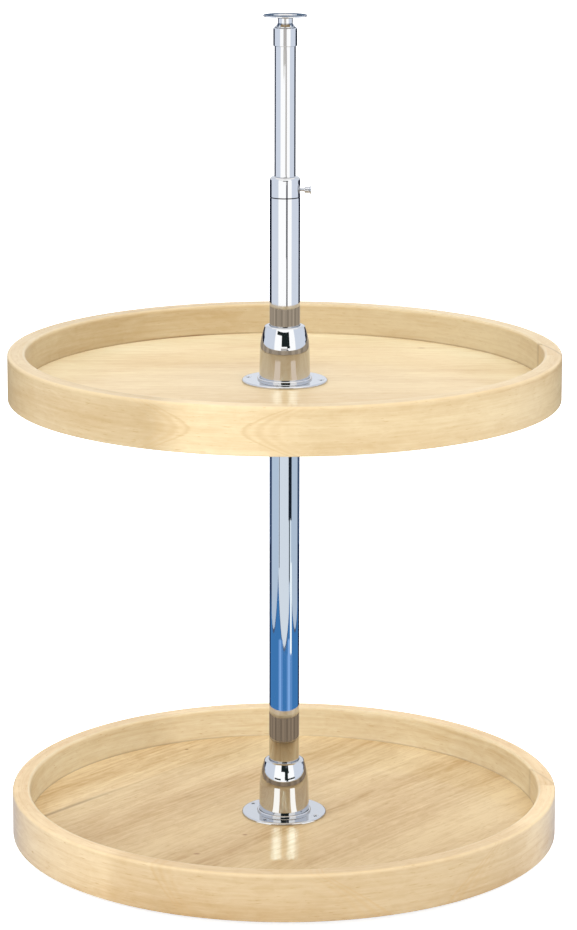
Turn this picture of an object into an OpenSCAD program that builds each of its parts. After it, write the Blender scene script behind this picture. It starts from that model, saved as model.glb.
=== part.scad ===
// Two-tier round turning shelf unit on a telescoping post.
// Millimetres. The origin is on the post's axis, on the face that the unit stands on. Z is up.
// The front is towards -Y, and the thumb screw points to +X.

/* [Trays] */
// Outside diameter of each tray
tray_d = 508; // [400:1:720]
// Height of the wooden rim
rim_h = 43.2; // [36:0.1:60]
// Thickness of the wooden rim
rim_t = 16.5; // [12:0.5:22]
// Depth of the tray, from the rim's top down to the floor
tray_depth = 29.5; // [20:0.5:32]
// Thickness of the tray's floor
floor_t = 12; // [6:0.5:12.7]
// How far the floor reaches into the rim's rebate
rebate_w = 8; // [4:0.5:10]
// Rounding of the rim's top edges
rim_round = 2.2; // [0.5:0.1:4]
// Rounding of the rim's bottom edges
foot_round = 1.4; // [0.5:0.1:3]
// Height of the lower tray's rim above the face that the unit stands on
lower_lift = 6; // [5:0.5:60]
// Distance from the lower tray up to the upper tray
tray_pitch = 413.4; // [330:0.2:440]

/* [Post] */
// Outside diameter of the wide tube
post_d = 28; // [27:0.1:34]
// Wall of the wide tube
post_wall = 1.2; // [0.8:0.1:2]
// Height of the wide tube's top end above the face that the unit stands on
post_top = 604.4; // [580:0.1:680]
// Outside diameter of the narrow tube
mast_d = 19.5; // [16:0.1:20]
// Wall of the narrow tube
mast_wall = 1.1; // [0.8:0.1:1.8]
// Length of the narrow tube that shows between the clamp sleeve and the ferrule
mast_show = 118.8; // [110:0.1:200]
// How far the narrow tube can still be drawn out
mast_travel_up = 42.5; // [10:0.5:60]

/* [Clamp sleeve] */
// Height of the clamp sleeve above the wide tube
clamp_h = 18.9; // [14:0.1:26]
// Length of the clamp sleeve's spigot inside the wide tube
clamp_spigot = 24; // [15:1:40]
// Rounding of the clamp sleeve's shoulder
clamp_round = 3.2; // [1:0.1:3.4]
// Width of the dimple round the thumb screw
dimple_d = 9.7; // [7:0.1:11]
// Depth of the dimple
dimple_depth = 2.3; // [0.5:0.1:2.6]

/* [Thumb screw] */
// Height of the thumb screw above the clamp sleeve's bottom edge
screw_up = 6.5; // [5.6:0.1:10]
// Diameter of the thumb screw's shank
screw_d = 3.4; // [2.5:0.1:5]
// Bare length of the shank outside the clamp sleeve
screw_neck = 4; // [2:0.1:12]
// Diameter of the thumb screw's head
head_d = 6; // [5:0.1:12]
// Length of the thumb screw's head without its lip
head_l = 4.7; // [3:0.1:10]
// Diameter of the lip at the head's end
lip_d = 8; // [6:0.1:16]
// Thickness of the lip
lip_t = 1.1; // [0.6:0.1:3]

/* [Ceiling fitting] */
// Outside diameter of the ferrule on the narrow tube
ferrule_d = 21.8; // [21.2:0.1:26]
// Height of the ferrule
ferrule_h = 16.9; // [8:0.1:40]
// Diameter of the cone where it sits on the ferrule
cone_d = 18.4; // [15:0.1:20]
// Height of the cone
cone_h = 3.8; // [1:0.1:8]
// Diameter of the neck
neck_d = 13.8; // [9:0.1:14.5]
// Height of the neck above the cone
neck_h = 4.4; // [3:0.1:30]
// Diameter of the pin that turns inside the narrow tube
pin_d = 8; // [5:0.1:10]
// Length of that pin below the cone
pin_l = 24; // [12:1:50]
// Diameter of the ceiling plate
ceiling_d = 40.5; // [38:0.1:90]
// Thickness of the ceiling plate
ceiling_t = 1.2; // [1:0.1:4]
// Diameter of the dish pressed into the ceiling plate
dish_d = 16; // [14.5:0.5:18]
// Depth of the dish
dish_depth = 1.6; // [0.5:0.1:2.5]
// Width of the dish's sloping side
dish_slope_w = 2.6; // [1:0.1:3]
// Circle through the ceiling plate's screw holes
ceiling_pcd = 30; // [29:0.5:31]

/* [Floor plate] */
// Diameter of the floor plate
base_d = 89; // [70:1:120]
// Thickness of the floor plate
base_t = 2.5; // [2:0.1:4]
// Circle through the floor plate's screw holes
base_pcd = 68; // [44:1:74]
// Height of the plug that the wide tube stands over
plug_h = 30; // [12:1:60]

/* [Hubs] */
// Height of the hub above the tray's floor
hub_h = 52.7; // [48:0.1:70]
// Reach of the flange outside the hub's skirt
flange_w = 16; // [14:0.1:30]
// Thickness of the flange
flange_t = 2.4; // [1.6:0.1:5]
// Distance from the flange's edge in to its screws
flange_screw_in = 5.3; // [4.6:0.1:6]
// Number of screws in each flange
flange_screws = 4; // [3:1:6]
// Height at which the skirt starts to curve in
hub_shoulder_z = 26; // [12:0.5:30]
// Wall of the hub at its shoulder
hub_wall = 3.4; // [2.6:0.1:5]
// How far the skirt flares out below its shoulder
hub_flare = 0.45; // [0:0.05:2]
// Width of the hub's top round the post, out to where its rounded edge meets the bell
hub_top_w = 4; // [3.8:0.1:5]
// Rounding of the hub's top edge
crown_round = 3.2; // [1:0.1:3.4]
// Wall of the nylon bush
bush_wall = 2.4; // [1.5:0.1:3]
// Length of the nylon bush above its flange
bush_l = 13; // [8:0.5:20]
// Thickness of the height collar's ring, out from the post
collar_w = 5; // [4.5:0.1:8]
// Height of the height collar
collar_h = 10; // [7:0.5:14]

/* [Screws] */
// Head diameter of the countersunk wood screws
wood_head_d = 7; // [5:0.1:8]
// Shank diameter of the wood screws
wood_shank_d = 3.2; // [2.4:0.1:4]
// Length of the hub's wood screws, head included
wood_screw_l = 11; // [8:0.5:12.5]
// Diameter of the screw holes in the floor plate and the ceiling plate
plate_hole_d = 4.4; // [3:0.1:5]
// Diameter of the height collar's grub screw
grub_d = 5; // [4:0.1:6]

/* [Fits] */
// Radial clearance of pieces that turn or slide on each other
running = 0.05; // [0.02:0.01:0.1]
// Radial clearance of pieces that are pressed or screwed together
seated = 0.1; // [0.05:0.05:0.3]
// Gap between faces that pass each other while they turn
face_gap = 0.15; // [0.1:0.05:0.5]
// Clearance of a wooden piece in its rebate
wood_fit = 0.3; // [0.1:0.1:0.8]
// Clearance of the bell hub round the height collar
bell_gap = 0.6; // [0.4:0.1:2]

/* [Hidden] */

$fn = 96;
over = 1; // how far a cutting solid reaches past what it cuts

MAPLE = "#ecd6ac";
CHROME = "#cfd4da";
STEEL = "#9da2a8";
NYLON = "#e9e8e2";

// Trays
tray_r = tray_d / 2;
tray_inner_r = tray_r - rim_t;
upper_lift = lower_lift + tray_pitch;
floor_up = rim_h - tray_depth;
lower_floor_top = lower_lift + floor_up;
upper_floor_top = upper_lift + floor_up;
floor_r = tray_inner_r + rebate_w - wood_fit;

// Post and mast
post_r = post_d / 2;
post_bore_r = post_r - post_wall;
mast_r = mast_d / 2;
mast_bore_r = mast_r - mast_wall;
clamp_top = post_top + clamp_h;
spigot_bottom = post_top - clamp_spigot;
ferrule_bottom = clamp_top + mast_show;
ferrule_top = ferrule_bottom + ferrule_h;
ferrule_cap = 2;
ferrule_round = 0.9;
ferrule_foot = 0.5;
mast_top = ferrule_top - ferrule_cap;
slide_bush_l = 16;
slide_bush_lip = 2;
slide_bush_top = spigot_bottom - mast_travel_up - face_gap;
mast_bottom = slide_bush_top - slide_bush_l + slide_bush_lip;
end_ease = 0.4;
plate_round = 1;
plate_foot = 0.3;

// Ceiling fitting
cone_bottom = ferrule_top + face_gap;
neck_top = cone_bottom + cone_h + neck_h;
ceiling_bottom = neck_top + dish_depth;
ceiling_top = ceiling_bottom + ceiling_t;
rivet_shoulder = 2.2;
rivet_r = neck_d / 2 - rivet_shoulder;
rivet_head_h = 0.8;
rivet_head_w = 1.4;
rivet_crest_w = 0.6;
ceiling_ease = 0.4;
cone_land = 0.7;
pin_ease = 0.5;
pin_gap = 0.4;
pin_bottom = cone_bottom - pin_l;
pin_bush_floor = 2;
pin_bush_bottom = pin_bottom - face_gap - pin_bush_floor;

// Hubs, by height above the tray's floor
collar_r = post_r + collar_w;
cavity_r = collar_r + bell_gap;
shoulder_r = cavity_r + hub_wall;
skirt_r = shoulder_r + hub_flare;
flange_r = skirt_r + flange_w;
flange_screw_r = flange_r - flange_screw_in;
mouth_gap = 0.5;
hub_mouth_r = post_r + mouth_gap;
hub_crown_r = hub_mouth_r + hub_top_w;
bush_r = post_r + running + bush_wall;
socket_r = bush_r + seated;
crown_t = 3.5;
socket_top = hub_h - crown_t;
bush_top = socket_top - seated;
bush_lip_t = 2.2;
bush_lip_r = collar_r;
bush_seat = bush_top - bush_l;
bush_bottom = bush_seat - bush_lip_t;
washer_t = 1.5;
washer_top = bush_bottom - face_gap;
washer_bottom = washer_top - washer_t;
collar_ease = 0.6;
collar_top = washer_bottom;
collar_bottom = collar_top - collar_h;
bead_w = 1.7;
bead_h = 1.9;
groove_h = 0.8;
groove_depth = 0.9;
// Where the bell meets the crown's rounding, as a turn up from level round the rounding's centre
crown_turn = 40;
crown_reach = hub_crown_r + crown_round * (1 - cos(crown_turn));
// Radius of the arc that runs from the shoulder up and in to the crown, upright at the shoulder
bell_rise = hub_h - crown_round * (1 - sin(crown_turn)) - hub_shoulder_z;
bell_in = shoulder_r - hub_crown_r;
bell_r = (bell_rise * bell_rise + bell_in * bell_in) / (2 * bell_in);
upper_screw_turn = -11.6;
lower_screw_turn = -31.4;

// Screws
grub_inset = 0.4;
grub_l = collar_w - running - grub_inset;
grub_socket = grub_d * 0.5;
screw_tip = 1.5;
recess_w = 1;
recess_depth = 1.2;
pilot_depth = wood_screw_l - flange_t + screw_tip;
plate_head_d = plate_hole_d * 1.7;
ceiling_holes = 3;
base_holes = 4;
plug_screw_d = 5;
plug_screw_l = 16;
plug_head_d = 9.5;
plug_hole_spare = 1;
plug_ease = 1;
screw_z = post_top + screw_up;
slot_w = 0.9;
slot_depth = 0.9;

// A flat shape as wide as size.x and as high as size.y from the origin, with its outer corners rounded.
module eased(size, top_r, bottom_r = 0) {
    difference() {
        square(size);
        translate([size.x - top_r, size.y - top_r]) corner(top_r);
        if (bottom_r > 0) translate([size.x - bottom_r, bottom_r]) mirror([0, 1]) corner(bottom_r);
    }
}

// What rounding a corner of radius r takes away. The arc's centre is at the origin.
module corner(r) {
    difference() {
        square(r + over);
        circle(r);
    }
}

// A ring between two radii, standing on z = 0.
module ring(outer_r, inner_r, h) {
    difference() {
        cylinder(r = outer_r, h = h);
        translate([0, 0, -over]) cylinder(r = inner_r, h = h + 2 * over);
    }
}

// Children repeated count times round Z on a circle of radius r.
module on_circle(r, count, turn = 0) {
    for (i = [0:count - 1]) rotate(turn + i * 360 / count) translate([r, 0, 0]) children();
}

// A countersunk hole down from z = 0, with its head's mouth at the top.
module countersunk(head_d, hole_d, depth) {
    head_h = (head_d - hole_d) / 2;
    translate([0, 0, -depth]) cylinder(d = hole_d, h = depth + over, $fn = 48);
    translate([0, 0, -head_h]) cylinder(d1 = hole_d, d2 = head_d, h = head_h, $fn = 48);
    cylinder(d = head_d, h = over, $fn = 48);
}

// A countersunk screw with a crossed recess, hanging from z = 0.
module flat_screw(head_d, shank_d, length) {
    head_h = (head_d - shank_d) / 2;
    difference() {
        union() {
            translate([0, 0, -head_h]) cylinder(d1 = shank_d, d2 = head_d, h = head_h, $fn = 48);
            translate([0, 0, screw_tip - length])
                cylinder(d = shank_d, h = length - screw_tip - head_h, $fn = 48);
            translate([0, 0, -length]) cylinder(d1 = shank_d * 0.3, d2 = shank_d, h = screw_tip, $fn = 48);
        }
        for (turn = [0, 90])
            rotate(turn) translate([-head_d * 0.3, -recess_w / 2, -recess_depth])
                cube([head_d * 0.6, recess_w, recess_depth + over]);
    }
}

// The wooden band round a tray, rebated below for the floor.
module rim() {
    color(MAPLE) rotate_extrude($fn = 240) difference() {
        translate([tray_inner_r, 0]) eased([rim_t, rim_h], rim_round, foot_round);
        translate([tray_inner_r + rim_round, rim_h - rim_round]) mirror([1, 0]) corner(rim_round);
        translate([tray_inner_r - over, -over]) square([rebate_w + over, floor_up + over]);
    }
}

// The round panel, with the hole that passes the post and collar and the pilot holes for the hub.
module tray_floor(turn) {
    color(MAPLE) difference() {
        translate([0, 0, -floor_t]) ring(floor_r, cavity_r, floor_t);
        on_circle(flange_screw_r, flange_screws, turn)
            translate([0, 0, -pilot_depth])
                cylinder(d = wood_shank_d + 2 * running, h = pilot_depth + over, $fn = 48);
    }
}

// Half of the hub's section: flange, bead, groove, skirt and bell, hollow inside.
module hub_section() {
    bead_top = flange_t + bead_h;
    skirt_bottom = bead_top + groove_h;
    difference() {
        union() {
            eased([flange_r, flange_t], flange_t * 0.55, plate_foot);
            eased([skirt_r + bead_w, bead_top], bead_w * 0.6);
            square([skirt_r - groove_depth, hub_shoulder_z]);
            polygon([
                [0, skirt_bottom], [skirt_r, skirt_bottom], [shoulder_r, hub_shoulder_z], [0, hub_shoulder_z]
            ]);
            difference() {
                intersection() {
                    translate([shoulder_r - bell_r, hub_shoulder_z]) circle(bell_r, $fn = 360);
                    translate([0, hub_shoulder_z]) square([shoulder_r + over, hub_h - hub_shoulder_z]);
                }
                translate([crown_reach - crown_round, hub_h - crown_round]) corner(crown_round);
            }
        }
        translate([-over, -over]) square([cavity_r + over, bush_seat + over]);
        translate([-over, 0]) square([socket_r + over, socket_top]);
        translate([-over, 0]) square([hub_mouth_r + over, hub_h + over]);
    }
}

// The chromed bell that carries the tray.
module hub(turn) {
    color(CHROME) difference() {
        rotate_extrude($fn = 128) hub_section();
        on_circle(flange_screw_r, flange_screws, turn)
            translate([0, 0, flange_t])
                countersunk(wood_head_d + 2 * seated, wood_shank_d + 2 * seated, flange_t + over);
    }
}

module hub_screws(turn) {
    color(CHROME) on_circle(flange_screw_r, flange_screws, turn)
        translate([0, 0, flange_t - seated]) flat_screw(wood_head_d, wood_shank_d, wood_screw_l);
}

// The nylon bush that the hub turns on: a sleeve with a thrust flange below.
module hub_bush() {
    color(NYLON) {
        difference() {
            union() {
                translate([0, 0, bush_bottom]) cylinder(r = bush_lip_r, h = bush_lip_t);
                translate([0, 0, bush_bottom]) cylinder(r = bush_r, h = bush_lip_t + bush_l);
            }
            translate([0, 0, bush_bottom - over])
                cylinder(r = post_r + running, h = bush_lip_t + bush_l + 2 * over);
        }
    }
}

module thrust_washer() {
    color(NYLON) translate([0, 0, washer_bottom]) ring(collar_r, post_r + running, washer_t);
}

// The steel ring that holds a tray at its height, with a tapped hole for its grub screw.
module height_collar() {
    color(STEEL) difference() {
        translate([0, 0, collar_bottom]) rotate_extrude() difference() {
            eased([collar_r, collar_h], collar_ease, collar_ease);
            translate([-over, -over]) square([post_r + running + over, collar_h + 2 * over]);
        }
        translate([0, 0, collar_bottom + collar_h / 2]) rotate([0, 90, 0])
            cylinder(d = grub_d + 2 * running, h = collar_r + over, $fn = 48);
    }
}

// The grub screw: a short threaded slug with a hexagon socket in its outer end.
module grub_screw() {
    color(STEEL) translate([post_r + running, 0, collar_bottom + collar_h / 2]) rotate([0, 90, 0])
        difference() {
            cylinder(d = grub_d, h = grub_l, $fn = 48);
            translate([0, 0, grub_l - grub_socket]) cylinder(d = grub_socket, h = grub_socket + over, $fn = 6);
        }
}

// The disc that is screwed to the cupboard's floor.
module floor_plate() {
    color(CHROME) difference() {
        rotate_extrude() eased([base_d / 2, base_t], plate_round, plate_foot);
        on_circle(base_pcd / 2, base_holes, 45)
            translate([0, 0, base_t]) countersunk(plate_head_d, plate_hole_d, base_t + over);
        mirror([0, 0, 1]) countersunk(plug_head_d + 2 * seated, plug_screw_d + 2 * seated, base_t + over);
    }
}

// The plug that centres the wide tube on the floor plate.
module floor_plug() {
    color(STEEL) translate([0, 0, base_t]) difference() {
        rotate_extrude() eased([post_bore_r - seated, plug_h], plug_ease);
        translate([0, 0, -over])
            cylinder(d = plug_screw_d + 2 * seated, h = plug_screw_l - base_t + plug_hole_spare + over, $fn = 48);
    }
}

module floor_plug_screw() {
    color(STEEL) translate([0, 0, seated]) mirror([0, 0, 1])
        flat_screw(plug_head_d, plug_screw_d, plug_screw_l);
}

module wide_tube() {
    color(CHROME) translate([0, 0, base_t]) rotate_extrude() difference() {
        eased([post_r, post_top - base_t], end_ease, end_ease);
        translate([-over, -over]) square([post_bore_r + over, post_top - base_t + 2 * over]);
    }
}

// The sleeve that closes the wide tube and guides the narrow one, dimpled round the thumb screw.
module clamp_sleeve() {
    bore_r = mast_r + running;
    color(CHROME) difference() {
        rotate_extrude() difference() {
            union() {
                translate([0, post_top]) eased([post_r, clamp_h], clamp_round, end_ease);
                translate([0, spigot_bottom]) square([post_bore_r - seated, clamp_spigot + over]);
            }
            translate([-over, spigot_bottom - over])
                square([bore_r + over, clamp_spigot + clamp_h + 2 * over]);
        }
        translate([0, 0, screw_z]) rotate([0, 90, 0]) {
            cylinder(d = screw_d + 2 * running, h = post_r + over, $fn = 48);
            translate([0, 0, post_r - dimple_depth])
                cylinder(d1 = screw_d + 2 * running, d2 = dimple_d, h = dimple_depth, $fn = 96);
            translate([0, 0, post_r]) cylinder(d = dimple_d, h = over, $fn = 96);
        }
    }
}

// The thumb screw that bears on the narrow tube: shank, knurled head, end lip and driver slot.
module thumb_screw() {
    tip = mast_r + 2 * running;
    head_at = post_r + screw_neck;
    knurls = 20;
    color(CHROME) translate([0, 0, screw_z]) rotate([0, 90, 0]) difference() {
        union() {
            translate([0, 0, tip]) cylinder(d = screw_d, h = head_at - tip + over, $fn = 48);
            translate([0, 0, head_at]) cylinder(d = head_d, h = head_l, $fn = 64);
            translate([0, 0, head_at + head_l]) cylinder(d = lip_d, h = lip_t, $fn = 64);
        }
        on_circle(head_d / 2, knurls)
            translate([0, 0, head_at - over]) cylinder(d = head_d * 0.09, h = head_l + over, $fn = 24);
        translate([-slot_w / 2, -lip_d, head_at + head_l + lip_t - slot_depth])
            cube([slot_w, 2 * lip_d, slot_depth + over]);
    }
}

module narrow_tube() {
    color(CHROME) translate([0, 0, mast_bottom]) ring(mast_r, mast_bore_r, mast_top - mast_bottom);
}

// The nylon slide bush on the narrow tube's foot. Its top meets the clamp sleeve when drawn right out.
module slide_bush() {
    bottom = slide_bush_top - slide_bush_l;
    color(NYLON) difference() {
        translate([0, 0, bottom]) cylinder(r = post_bore_r - running, h = slide_bush_l);
        translate([0, 0, bottom + slide_bush_lip]) cylinder(r = mast_r + seated, h = slide_bush_l);
        translate([0, 0, bottom - over]) cylinder(r = mast_bore_r, h = slide_bush_l);
    }
}

// The cap on the narrow tube's head, open in the middle for the pin.
module ferrule() {
    color(CHROME) translate([0, 0, ferrule_bottom]) rotate_extrude() difference() {
        eased([ferrule_d / 2, ferrule_h], ferrule_round, ferrule_foot);
        translate([-over, -over]) square([mast_r + seated + over, ferrule_h - ferrule_cap + over]);
        translate([-over, 0]) square([pin_d / 2 + pin_gap + over, ferrule_h + over]);
    }
}

// The nylon cup inside the narrow tube's head, in which the spindle's pin turns.
module pin_bush() {
    color(NYLON) difference() {
        translate([0, 0, pin_bush_bottom]) cylinder(r = mast_bore_r - seated, h = mast_top - pin_bush_bottom);
        translate([0, 0, pin_bush_bottom + pin_bush_floor]) cylinder(d = pin_d + 2 * running, h = pin_l + over);
    }
}

// Pin, cone and neck in one turned piece, riveted over in the ceiling plate's dish.
module ceiling_spindle() {
    cone_top = cone_bottom + cone_h;
    color(CHROME) rotate_extrude() {
        polygon([
            [0, pin_bottom], [pin_d / 2 - pin_ease, pin_bottom], [pin_d / 2, pin_bottom + pin_ease],
            [pin_d / 2, cone_bottom], [cone_d / 2, cone_bottom], [cone_d / 2, cone_bottom + cone_land],
            [neck_d / 2, cone_top], [neck_d / 2, neck_top], [rivet_r, neck_top],
            [rivet_r, neck_top + ceiling_t], [rivet_r + rivet_head_w, neck_top + ceiling_t],
            [rivet_r + rivet_crest_w, neck_top + ceiling_t + rivet_head_h],
            [0, neck_top + ceiling_t + rivet_head_h]
        ]);
    }
}

// The disc that is screwed to the cupboard's top, with a dish pressed down round the rivet.
module ceiling_plate() {
    bite = ceiling_t / 3;
    color(CHROME) difference() {
        rotate_extrude() difference() {
            union() {
                translate([0, ceiling_bottom]) eased([ceiling_d / 2, ceiling_t], ceiling_ease, ceiling_ease);
                polygon([
                    [0, neck_top], [dish_d / 2, neck_top], [dish_d / 2 + dish_slope_w, ceiling_bottom],
                    [dish_d / 2 + dish_slope_w, ceiling_bottom + bite], [0, ceiling_bottom + bite]
                ]);
            }
            polygon([
                [-over, neck_top + ceiling_t], [dish_d / 2, neck_top + ceiling_t],
                [dish_d / 2 + dish_slope_w, ceiling_top], [dish_d / 2 + dish_slope_w, ceiling_top + over],
                [-over, ceiling_top + over]
            ]);
            translate([-over, neck_top - over]) square([rivet_r + seated + over, ceiling_t + 2 * over]);
        }
        on_circle(ceiling_pcd / 2, ceiling_holes, 90)
            translate([0, 0, ceiling_bottom - over]) cylinder(d = plate_hole_d, h = ceiling_t + 2 * over, $fn = 48);
    }
}

module at_upper() {
    translate([0, 0, upper_floor_top]) children();
}

module at_lower() {
    translate([0, 0, lower_floor_top]) children();
}

floor_plate();
floor_plug();
floor_plug_screw();
wide_tube();
clamp_sleeve();
thumb_screw();
narrow_tube();
slide_bush();
ferrule();
pin_bush();
ceiling_spindle();
ceiling_plate();
translate([0, 0, upper_lift]) rim();  // upper_rim
at_upper() tray_floor(upper_screw_turn);  // upper_floor
at_upper() hub(upper_screw_turn);  // upper_hub
at_upper() hub_screws(upper_screw_turn);  // upper_hub_screws
at_upper() hub_bush();  // upper_hub_bush
at_upper() thrust_washer();  // upper_thrust_washer
at_upper() height_collar();  // upper_height_collar
at_upper() grub_screw();  // upper_grub_screw
translate([0, 0, lower_lift]) rim();  // lower_rim
at_lower() tray_floor(lower_screw_turn);  // lower_floor
at_lower() hub(lower_screw_turn);  // lower_hub
at_lower() hub_screws(lower_screw_turn);  // lower_hub_screws
at_lower() hub_bush();  // lower_hub_bush
at_lower() thrust_washer();  // lower_thrust_washer
at_lower() height_collar();  // lower_height_collar
at_lower() grub_screw();  // lower_grub_screw
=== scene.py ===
# %% [markdown]
# # A two-tier turning shelf unit in maple and chrome
# Two round wooden trays turn on one chromed post, which telescopes between the floor and
# the top of a cupboard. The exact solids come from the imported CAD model. This lesson gives them
# their finishes, adds the piece that needs finer modelling, and lights them in a small studio.
# Everything is in metres, and every piece keeps its place in its mesh.

# %% Load the frame
import math

import bpy
from mathutils import Matrix, Vector


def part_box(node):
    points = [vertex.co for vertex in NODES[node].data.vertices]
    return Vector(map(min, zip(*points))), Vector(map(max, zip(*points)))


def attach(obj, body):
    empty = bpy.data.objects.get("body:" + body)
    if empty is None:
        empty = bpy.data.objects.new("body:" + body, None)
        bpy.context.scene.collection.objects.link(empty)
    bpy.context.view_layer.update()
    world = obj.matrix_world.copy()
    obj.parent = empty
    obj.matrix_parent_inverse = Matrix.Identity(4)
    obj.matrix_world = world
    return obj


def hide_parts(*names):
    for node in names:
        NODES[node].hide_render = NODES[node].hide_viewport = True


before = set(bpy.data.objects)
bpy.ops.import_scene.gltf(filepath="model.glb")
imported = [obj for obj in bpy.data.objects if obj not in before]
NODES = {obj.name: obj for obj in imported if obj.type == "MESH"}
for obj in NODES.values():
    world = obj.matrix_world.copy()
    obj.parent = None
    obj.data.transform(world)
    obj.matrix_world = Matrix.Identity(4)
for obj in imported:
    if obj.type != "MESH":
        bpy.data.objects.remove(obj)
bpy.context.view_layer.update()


# %% [markdown]
# Colours are easiest to judge as a screen shows them, from 0 to 255, but a shader wants linear
# light. One small helper turns the first into the second.

# %% Screen colours to linear light
def tone(red, green, blue, gain=1.0):
    """A screen colour, 0 to 255, as linear light, with an opaque alpha."""
    def linear(value):
        value /= 255
        return value / 12.92 if value <= 0.04045 else ((value + 0.055) / 1.055) ** 2.4
    return tuple(linear(value) * gain for value in (red, green, blue)) + (1.0,)


print("mid grey 128 is", round(tone(128, 128, 128)[0], 3), "in linear light")

# %% [markdown]
# The camera stands three metres in front of the unit and looks ten degrees down, through a long
# lens. Its axis meets the picture well above the middle, so the lens is shifted, as on a view
# camera. The focal length is worked out in pixels of the finished picture, and then turned into
# millimetres.

# %% Place the camera
PICTURE_W, PICTURE_H = 577, 930
FOCAL_PX = 3369.4
AXIS_X, AXIS_Y = 285.5, 288.2  # where the lens axis meets the picture, in pixels
SENSOR_MM = 36.0
CAMERA_AT = Vector((0.0, -3.03495, 1.05335))
LOOK_DOWN, LEAN, TURN = 0.17401, 0.00161, -0.0002  # radians
STUDIO_W = 60  # the studio floor's width, and as far as the camera sees

lens = bpy.data.cameras.new("photo_camera")
lens.sensor_width = SENSOR_MM
lens.lens = FOCAL_PX * SENSOR_MM / PICTURE_H
lens.shift_x = (PICTURE_W / 2 - AXIS_X) / PICTURE_H
lens.shift_y = -(PICTURE_H / 2 - AXIS_Y) / PICTURE_H
lens.clip_end = STUDIO_W
camera = bpy.data.objects.new("photo_camera", lens)
bpy.context.scene.collection.objects.link(camera)
camera.matrix_world = (Matrix.Translation(CAMERA_AT) @ Matrix.Rotation(TURN, 4, "Z")
                       @ Matrix.Rotation(math.pi / 2 - LOOK_DOWN, 4, "X")
                       @ Matrix.Rotation(LEAN, 4, "Z"))
bpy.context.scene.camera = camera
bpy.context.scene.view_settings.view_transform = "Standard"
print("lens", round(lens.lens, 1), "mm, shift", round(lens.shift_x, 4), round(lens.shift_y, 4))


# %% [markdown]
# Every finish below is a small net of shader nodes. Helpers keep such a net short. The first adds
# a node with its settings and its inputs, where an input is a plain value or another node's
# output. The others do the sums that a pattern is made of.

# %% Helpers for nodes and sums
def add_node(tree, kind, inputs=None, **settings):
    prefix = "Node" if kind in ("GroupInput", "GroupOutput") else "ShaderNode"
    node = tree.nodes.new(prefix + kind)
    for name, value in settings.items():
        setattr(node, name, value)
    for name, value in (inputs or {}).items():
        if isinstance(value, bpy.types.NodeSocket):
            tree.links.new(value, node.inputs[name])
        else:
            node.inputs[name].default_value = value
    return node


def reckon(tree, operation, *values, clamp=False):
    """The output of one Math node."""
    return add_node(tree, "Math", dict(enumerate(values)), operation=operation,
                    use_clamp=clamp).outputs[0]


def plus(tree, first, second):
    return reckon(tree, "ADD", first, second)


def minus(tree, first, second):
    return reckon(tree, "SUBTRACT", first, second)


def times(tree, first, second):
    return reckon(tree, "MULTIPLY", first, second)


def length_of(tree, x, y):
    """The length of the line from the origin to (x, y)."""
    return reckon(tree, "SQRT", plus(tree, times(tree, x, x), times(tree, y, y)))


print("sums ready")


# %% [markdown]
# Three more helpers make colours: a ramp that turns a number into a colour, a blend of two
# colours, and a material whose steady values are set on its Principled shader.

# %% Helpers for colours and finishes
def ramp(tree, factor, stops):
    """A colour ramp's colour output, from stops of (place, grey or colour)."""
    node = add_node(tree, "ValToRGB", {"Fac": factor})
    places = node.color_ramp.elements
    for index, (place, value) in enumerate(stops):
        stop = places[index] if index < 2 else places.new(place)
        stop.position = place
        stop.color = value if isinstance(value, tuple) else (value, value, value, 1)
    return node.outputs["Color"]


def blend_colours(tree, factor, first, second, how="MIX"):
    node = add_node(tree, "Mix", data_type="RGBA", blend_type=how)
    sockets = (node.inputs["Factor"], node.inputs[6], node.inputs[7])
    for socket, value in zip(sockets, (factor, first, second)):
        if isinstance(value, bpy.types.NodeSocket):
            tree.links.new(value, socket)
        else:
            socket.default_value = value
    return node.outputs[2]


def finish_named(name, **values):
    """A material with a Principled shader, its steady values set on the shader itself."""
    made = bpy.data.materials.new(name)
    made.use_nodes = True
    shader = made.node_tree.nodes["Principled BSDF"]
    for socket, value in values.items():
        shader.inputs[socket.replace("_", " ").title().replace("Ior", "IOR")].default_value = value
    return made, made.node_tree, shader


print("colour helpers ready")

# %% [markdown]
# The studio has a pale floor. It glows faintly for the camera, like the lit sweep of a product
# table, so that it stays white far back. The chrome gets a ground of its own further on.

# %% The studio floor
FLOOR_Z = -0.0005  # a hair below the floor plate, so that the two faces don't flicker
FLOOR_GLOW = 0.8

bpy.ops.mesh.primitive_plane_add(size=STUDIO_W, location=(0, 0, FLOOR_Z))
studio_floor = bpy.context.object
studio_floor.name = "studio_floor"
sweep, tree, shader = finish_named("studio_floor", base_color=tone(246, 246, 246), roughness=0.9,
                                   emission_color=(1, 1, 1, 1))
glow = times(tree, add_node(tree, "LightPath").outputs["Is Camera Ray"], FLOOR_GLOW)
tree.links.new(glow, shader.inputs["Emission Strength"])
studio_floor.data.materials.append(sweep)
studio_floor.visible_glossy = False
print("studio floor:", STUDIO_W, "m wide")


# %% [markdown]
# Two big soft lamps light the unit, from above and from the front left. A weak third one hangs
# under the upper tray, whose shade would be too deep without it, and goes up and down with it.

# %% Soft lamps
def soft_lamp(name, place, aim, width, height, watts, spread=180, colour=(1, 1, 1)):
    """A rectangle of light that no reflection or camera sees. Spread is its beam, in degrees."""
    light = bpy.data.lights.new(name, "AREA")
    light.shape, light.size, light.size_y, light.energy = "RECTANGLE", width, height, watts
    light.spread, light.color = math.radians(spread), colour
    lamp = bpy.data.objects.new(name, light)
    lamp.location = place
    lamp.rotation_euler = (Vector(aim) - Vector(place)).to_track_quat("-Z", "Y").to_euler()
    lamp.visible_glossy = lamp.visible_camera = False
    bpy.context.scene.collection.objects.link(lamp)
    return lamp


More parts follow.
